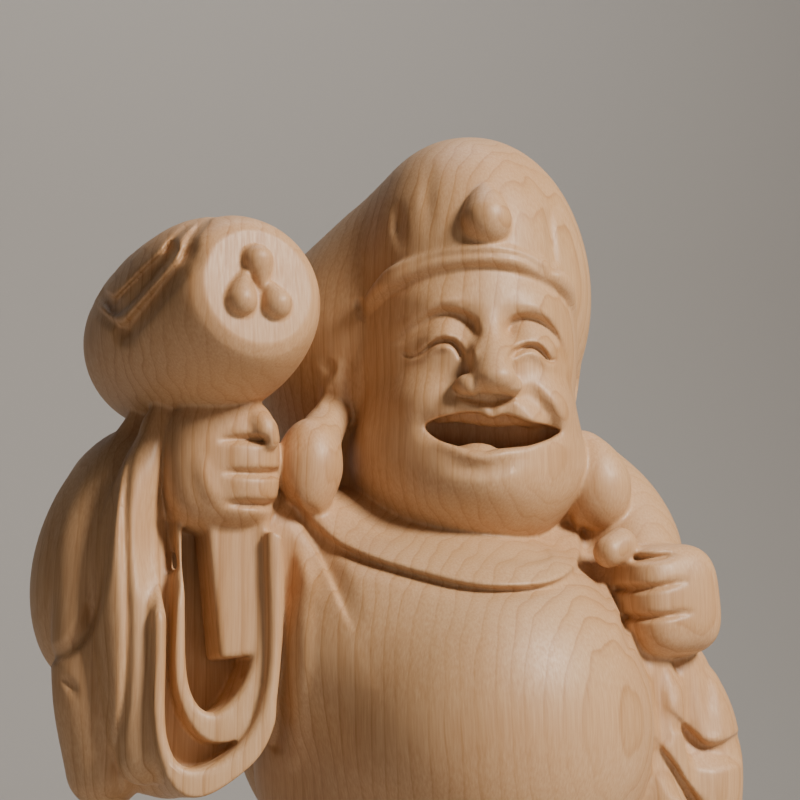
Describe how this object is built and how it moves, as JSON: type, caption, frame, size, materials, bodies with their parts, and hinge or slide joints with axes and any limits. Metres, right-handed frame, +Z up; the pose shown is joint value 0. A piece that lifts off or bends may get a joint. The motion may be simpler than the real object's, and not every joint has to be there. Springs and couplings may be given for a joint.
{
  "type": "daikoku figure",
  "caption": "Carved wooden figure of a laughing, round-bellied god of wealth in a soft cap, with a raised mallet and a sack over the left shoulder, on a low base",
  "frame": {"origin": "Centre of the flat underside of the base, which is the plane the figure stands on.", "axes": "+Z up. The figure faces -Y. Its own left hand, with the sack, is on the +X side, and the raised mallet is on the -X side."},
  "size_m": [0.147, 0.1034, 0.222],
  "materials": {
    "wood": "pale golden softwood, knife-carved and rubbed smooth, satin sheen, fine darker growth rings"
  },
  "bodies": {
    "root": {"daikoku_figure": "wood"}
  },
  "joints": []
}
